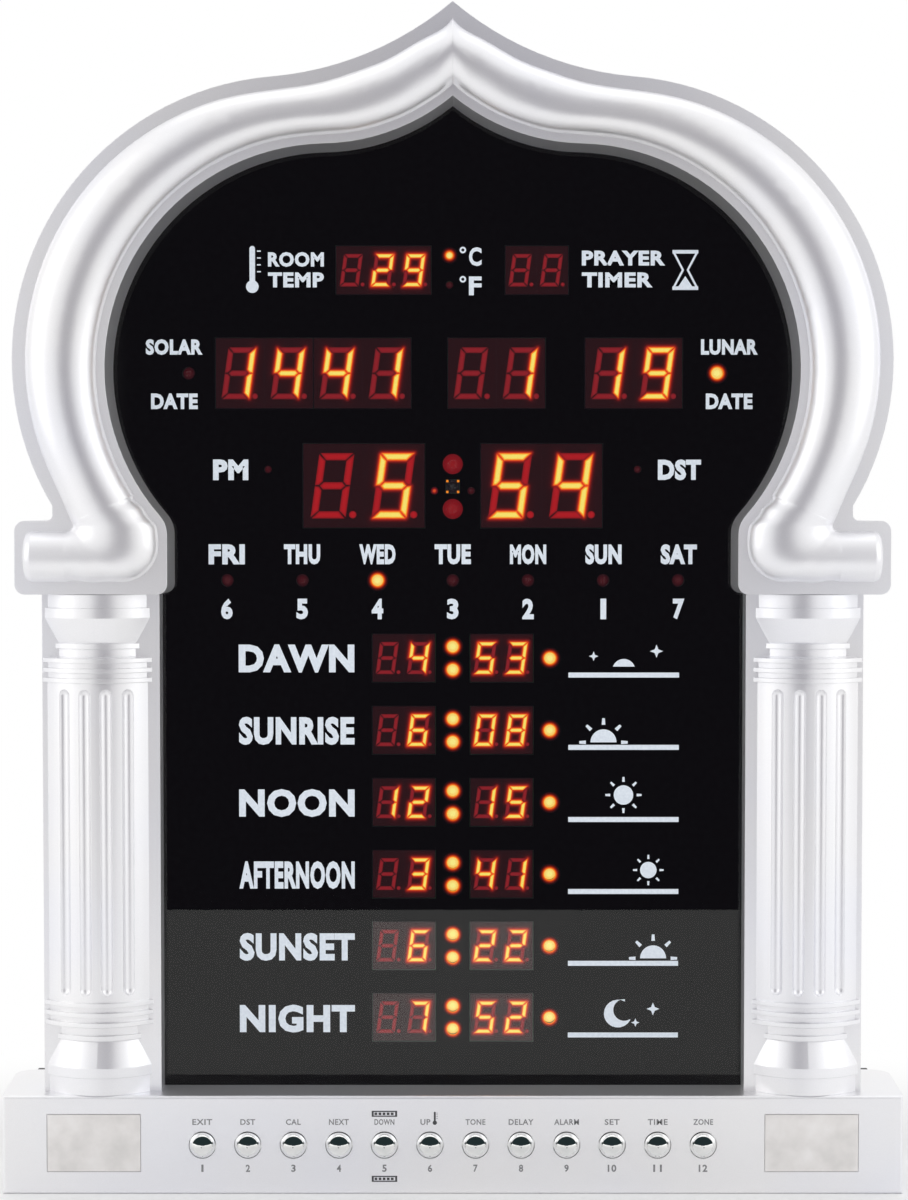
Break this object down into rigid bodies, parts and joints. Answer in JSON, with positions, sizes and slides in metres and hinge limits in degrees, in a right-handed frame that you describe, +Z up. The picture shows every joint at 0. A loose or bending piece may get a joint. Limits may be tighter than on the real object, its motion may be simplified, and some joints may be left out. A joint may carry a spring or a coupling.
{
  "type": "azan clock",
  "caption": "LED prayer clock: ogee-arched silver frame on two fluted columns, black display panel with digit rows, and a base with push buttons and blank plates.",
  "frame": {"origin": "on the base's underside, in the middle of its width, under the front face of the display panel", "axes": "+X to the clock's right as it is read, +Y from the reader towards the back, +Z up"},
  "size_m": [0.3564, 0.0575, 0.4653],
  "materials": {
    "silver_paint": "silver metallic paint, satin gloss",
    "black_plastic": "fine moulded texture",
    "brushed_plate": "pearly brushed plate",
    "chrome_plate": "polished",
    "clear_acrylic": "polished, smoke tinted",
    "black_film": "printed film",
    "digit_module": "dark face with lit segments",
    "lamp_resin": "tinted resin",
    "circuit_board": "solder mask",
    "chip_plastic": "moulded",
    "header_plastic": "moulded",
    "cable_sheath": "satin",
    "speaker_steel": "zinc plated",
    "speaker_paper": "pressed paper",
    "bright_metal": "bright",
    "screw_steel": "zinc plated"
  },
  "bodies": {
    "case": {"arch_frame": "silver_paint", "backup_cell": "bright_metal", "base_housing": "silver_paint", "button_board": "circuit_board", "button_board_screws": "screw_steel", "button_headers": "header_plastic", "button_ribbon": "cable_sheath", "capacitors": "bright_metal", "cell_holder": "chip_plastic", "column_left": "silver_paint", "column_right": "silver_paint", "cover_screws": "screw_steel", "digits_countdown": "digit_module", "digits_date": "digit_module", "digits_prayer": "digit_module", "digits_temperature": "digit_module", "digits_time": "digit_module", "display_board": "circuit_board", "display_board_screws": "screw_steel", "display_headers": "header_plastic", "display_panel": "clear_acrylic", "display_ribbon": "cable_sheath", "driver_chips": "chip_plastic", "lamps_calendar": "lamp_resin", "lamps_prayer": "lamp_resin", "lamps_prayer_colon": "lamp_resin", "lamps_status": "lamp_resin", "lamps_time_colon": "lamp_resin", "lamps_weekday": "lamp_resin", "main_board": "circuit_board", "main_board_screws": "screw_steel", "melody_chip": "chip_plastic", "microcontroller": "chip_plastic", "nameplate_left": "brushed_plate", "nameplate_right": "brushed_plate", "panel_mask": "black_film", "power_inlet": "chip_plastic", "power_inlet_pin": "bright_metal", "rear_cover": "black_plastic", "remote_receiver": "chip_plastic", "speaker_cone": "speaker_paper", "speaker_frame": "speaker_steel", "speaker_leads": "cable_sheath", "speaker_magnet": "speaker_steel", "speaker_screws": "screw_steel", "tact_switches": "chip_plastic", "temperature_sensor": "chip_plastic"},
    "button_01_cap": {"button_01": "chrome_plate"},
    "button_02_cap": {"button_02": "chrome_plate"},
    "button_03_cap": {"button_03": "chrome_plate"},
    "button_04_cap": {"button_04": "chrome_plate"},
    "button_05_cap": {"button_05": "chrome_plate"},
    "button_06_cap": {"button_06": "chrome_plate"},
    "button_07_cap": {"button_07": "chrome_plate"},
    "button_08_cap": {"button_08": "chrome_plate"},
    "button_09_cap": {"button_09": "chrome_plate"},
    "button_10_cap": {"button_10": "chrome_plate"},
    "button_11_cap": {"button_11": "chrome_plate"},
    "button_12_cap": {"button_12": "chrome_plate"}
  },
  "joints": [
    {"name": "button_01_press", "type": "slide", "parent": "case", "child": "button_01_cap", "axis": [0, 1, 0], "range_m": [0, 0.0008], "stiffness_N_per_m": 400, "springref_m": -0.001},
    {"name": "button_02_press", "type": "slide", "parent": "case", "child": "button_02_cap", "axis": [0, 1, 0], "range_m": [0, 0.0008], "stiffness_N_per_m": 400, "springref_m": -0.001},
    {"name": "button_03_press", "type": "slide", "parent": "case", "child": "button_03_cap", "axis": [0, 1, 0], "range_m": [0, 0.0008], "stiffness_N_per_m": 400, "springref_m": -0.001},
    {"name": "button_04_press", "type": "slide", "parent": "case", "child": "button_04_cap", "axis": [0, 1, 0], "range_m": [0, 0.0008], "stiffness_N_per_m": 400, "springref_m": -0.001},
    {"name": "button_05_press", "type": "slide", "parent": "case", "child": "button_05_cap", "axis": [0, 1, 0], "range_m": [0, 0.0008], "stiffness_N_per_m": 400, "springref_m": -0.001},
    {"name": "button_06_press", "type": "slide", "parent": "case", "child": "button_06_cap", "axis": [0, 1, 0], "range_m": [0, 0.0008], "stiffness_N_per_m": 400, "springref_m": -0.001},
    {"name": "button_07_press", "type": "slide", "parent": "case", "child": "button_07_cap", "axis": [0, 1, 0], "range_m": [0, 0.0008], "stiffness_N_per_m": 400, "springref_m": -0.001},
    {"name": "button_08_press", "type": "slide", "parent": "case", "child": "button_08_cap", "axis": [0, 1, 0], "range_m": [0, 0.0008], "stiffness_N_per_m": 400, "springref_m": -0.001},
    {"name": "button_09_press", "type": "slide", "parent": "case", "child": "button_09_cap", "axis": [0, 1, 0], "range_m": [0, 0.0008], "stiffness_N_per_m": 400, "springref_m": -0.001},
    {"name": "button_10_press", "type": "slide", "parent": "case", "child": "button_10_cap", "axis": [0, 1, 0], "range_m": [0, 0.0008], "stiffness_N_per_m": 400, "springref_m": -0.001},
    {"name": "button_11_press", "type": "slide", "parent": "case", "child": "button_11_cap", "axis": [0, 1, 0], "range_m": [0, 0.0008], "stiffness_N_per_m": 400, "springref_m": -0.001},
    {"name": "button_12_press", "type": "slide", "parent": "case", "child": "button_12_cap", "axis": [0, 1, 0], "range_m": [0, 0.0008], "stiffness_N_per_m": 400, "springref_m": -0.001}
  ]
}
